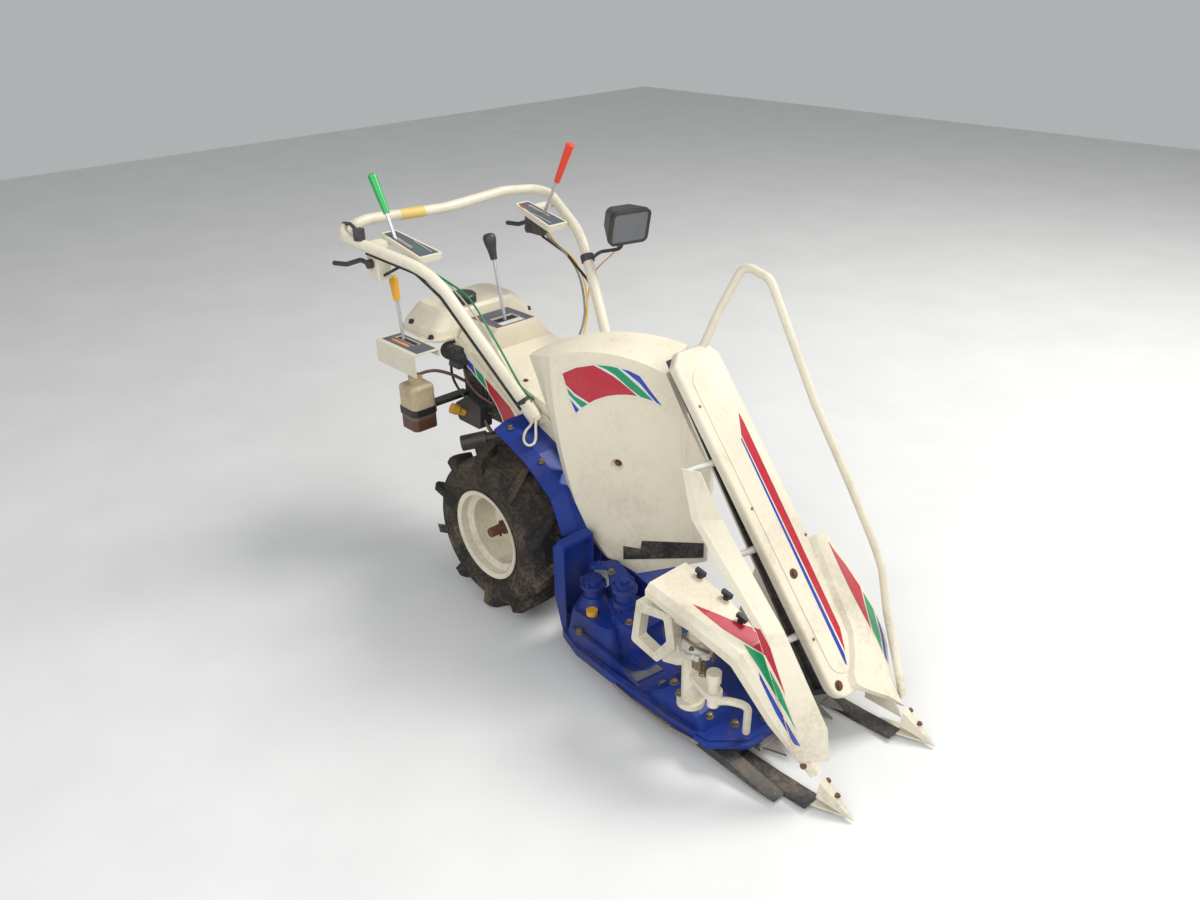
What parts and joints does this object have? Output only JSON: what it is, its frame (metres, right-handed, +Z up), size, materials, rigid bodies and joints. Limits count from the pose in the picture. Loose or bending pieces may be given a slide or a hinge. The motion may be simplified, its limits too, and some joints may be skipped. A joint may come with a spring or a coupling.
{
  "type": "reaper binder",
  "caption": "Walk-behind reaper binder on two lugged wheels, with a pickup and knotter header, engine hood, loop handlebar and crop guide hoop.",
  "frame": {"origin": "middle of the machine's box on the ground", "axes": "+X forward, towards the divider tips; +Y to the machine's left; +Z up"},
  "size_m": [1.5415, 0.657, 1.0271],
  "materials": {
    "cream_paint": "semi-gloss",
    "cream_plastic": "satin",
    "blue_paint": "gloss",
    "tyre_rubber": "matte",
    "black_rubber": "matte",
    "black_plastic": "matte",
    "white_plastic": "matte",
    "dark_steel": "worn",
    "bright_steel": "worn",
    "engine_cast": "rough",
    "grey_panel": "satin",
    "green_plastic": "gloss",
    "red_plastic": "gloss",
    "yellow_plastic": "gloss",
    "bottle_plastic": "translucent",
    "lamp_glass": "clear"
  },
  "bodies": {
    "chassis": {"binder_cover": "cream_plastic", "bottle_strap": "black_plastic", "control_cables": "black_rubber", "cover_knobs": "black_plastic", "crop_hoop": "cream_paint", "cutter_bar": "bright_steel", "deck": "blue_paint", "divider_tips": "cream_paint", "dividers": "cream_plastic", "edge_rod": "bright_steel", "engine_block": "engine_cast", "exhaust_pipe": "dark_steel", "fenders": "blue_paint", "fuel_cap": "black_plastic", "fuel_tank": "cream_plastic", "green_grip": "green_plastic", "hand_levers": "dark_steel", "handle_brackets": "cream_paint", "handlebar": "cream_paint", "header_gearcase": "blue_paint", "hood": "cream_plastic", "intake_boot": "black_plastic", "knotter_arm": "cream_paint", "knotter_cover": "cream_plastic", "knotter_disc": "white_plastic", "knotter_frame": "cream_paint", "lamp_lens": "lamp_glass", "lamp_stalk": "dark_steel", "lever_consoles": "grey_panel", "lever_rods": "bright_steel", "main_frame": "blue_paint", "oil_bottle": "bottle_plastic", "oil_caps": "yellow_plastic", "pickup_case": "cream_plastic", "pickup_channel": "dark_steel", "pickup_frame": "cream_paint", "pickup_tines": "white_plastic", "rear_console": "cream_paint", "red_grip": "red_plastic", "rubber_apron": "black_rubber", "shift_gate": "grey_panel", "shift_knob": "black_plastic", "skids": "dark_steel", "transmission_case": "blue_paint", "work_lamp": "black_plastic", "yellow_grip": "yellow_plastic"},
    "right_wheel": {"right_tyre": "tyre_rubber", "right_rim": "cream_paint", "right_axle": "bright_steel"},
    "left_wheel": {"left_tyre": "tyre_rubber", "left_rim": "cream_paint", "left_axle": "bright_steel"}
  },
  "joints": [
    {"name": "right_wheel_spin", "type": "hinge", "parent": "chassis", "child": "right_wheel", "pos_m": [-0.2572, -0.213, 0.207], "axis": [0, 1, 0], "continuous": true},
    {"name": "left_wheel_spin", "type": "hinge", "parent": "chassis", "child": "left_wheel", "pos_m": [-0.2572, 0.213, 0.207], "axis": [0, 1, 0], "continuous": true}
  ]
}
